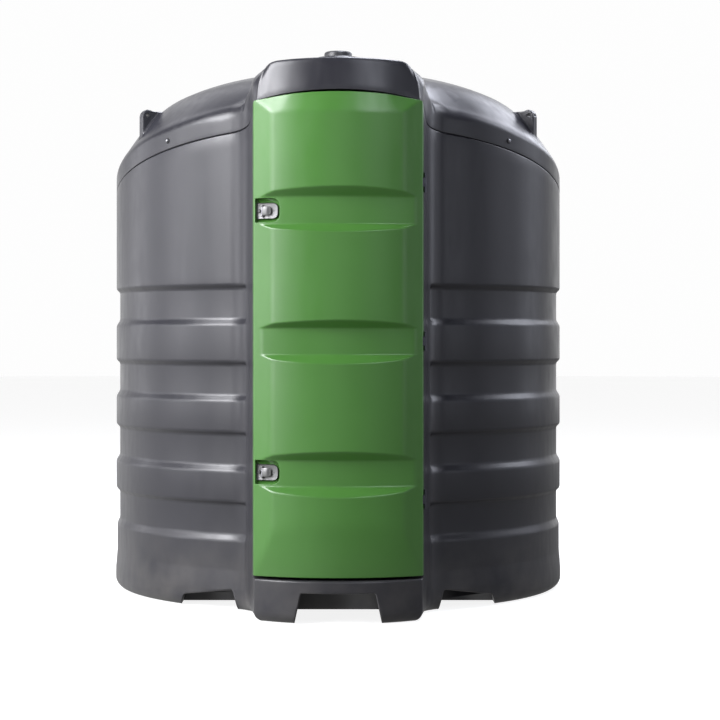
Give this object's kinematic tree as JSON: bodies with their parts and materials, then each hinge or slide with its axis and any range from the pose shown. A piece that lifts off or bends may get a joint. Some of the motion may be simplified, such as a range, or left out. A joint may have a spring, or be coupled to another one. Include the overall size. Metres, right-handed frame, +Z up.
{
  "type": "diesel tank",
  "caption": "Upright round plastic fuel tank with recessed bands, a slanted seam, a domed lid with a hatch and lifting lugs, and a full-height cabinet with a hinged, latched door.",
  "frame": {"origin": "on the tank's upright axis, at the underside of its base", "axes": "+Z up; -Y towards the cabinet door at the front; +X to the right as seen from in front"},
  "size_m": [2.45, 2.85, 2.941],
  "materials": {
    "tank_plastic": "satin moulded polyethylene, dark blue-grey",
    "door_plastic": "satin moulded polyethylene, mid green",
    "cap_plastic": "satin moulded plastic, near black",
    "hinge_steel": "dark coated steel with worn knuckles",
    "latch_steel": "brushed stainless steel",
    "lock_metal": "plated lock barrel"
  },
  "bodies": {
    "tank": {"rear_wall_left": "tank_plastic", "rear_wall_right": "tank_plastic", "rear_side_wall_left": "tank_plastic", "rear_side_wall_right": "tank_plastic", "side_wall_left": "tank_plastic", "side_wall_right": "tank_plastic", "front_wall_left": "tank_plastic", "front_wall_right": "tank_plastic", "cabinet_column_left": "tank_plastic", "cabinet_column_right": "tank_plastic", "rear_base_left": "tank_plastic", "rear_base_right": "tank_plastic", "side_base_left": "tank_plastic", "side_base_right": "tank_plastic", "fork_pocket_left": "tank_plastic", "fork_pocket_right": "tank_plastic", "rear_lid_rim_left": "tank_plastic", "rear_lid_rim_right": "tank_plastic", "side_lid_rim_left": "tank_plastic", "side_lid_rim_right": "tank_plastic", "cabinet_side_left": "tank_plastic", "cabinet_side_right": "tank_plastic", "lifting_lug_left": "tank_plastic", "lifting_lug_right": "tank_plastic", "tank_floor": "tank_plastic", "cabinet_foot": "tank_plastic", "cabinet_back": "tank_plastic", "lid_dome": "tank_plastic", "door_hood": "tank_plastic", "hatch_collar": "tank_plastic", "hatch_cap": "cap_plastic", "top_hinge_fixed_leaf": "hinge_steel", "middle_hinge_fixed_leaf": "hinge_steel", "bottom_hinge_fixed_leaf": "hinge_steel"},
    "door": {"door": "door_plastic", "top_hinge_door_leaf": "hinge_steel", "middle_hinge_door_leaf": "hinge_steel", "bottom_hinge_door_leaf": "hinge_steel", "upper_latch_plate": "latch_steel", "lower_latch_plate": "latch_steel", "upper_latch_lock": "lock_metal", "lower_latch_lock": "lock_metal"},
    "upper_paddle": {"upper_latch_paddle": "latch_steel"},
    "lower_paddle": {"lower_latch_paddle": "latch_steel"}
  },
  "joints": [
    {"name": "door_hinge", "type": "hinge", "parent": "tank", "child": "door", "pos_m": [0.4175, -1.44, 1.339], "axis": [0, 0, 1], "range_deg": [0, 120]},
    {"name": "upper_paddle_hinge", "type": "hinge", "parent": "door", "child": "upper_paddle", "pos_m": [-0.36367, -1.50032, 1.9605], "axis": [0, 0, -1], "range_deg": [0, 45], "stiffness_Nm_per_rad": 0.4},
    {"name": "lower_paddle_hinge", "type": "hinge", "parent": "door", "child": "lower_paddle", "pos_m": [-0.36367, -1.50032, 0.713], "axis": [0, 0, -1], "range_deg": [0, 45], "stiffness_Nm_per_rad": 0.4}
  ]
}
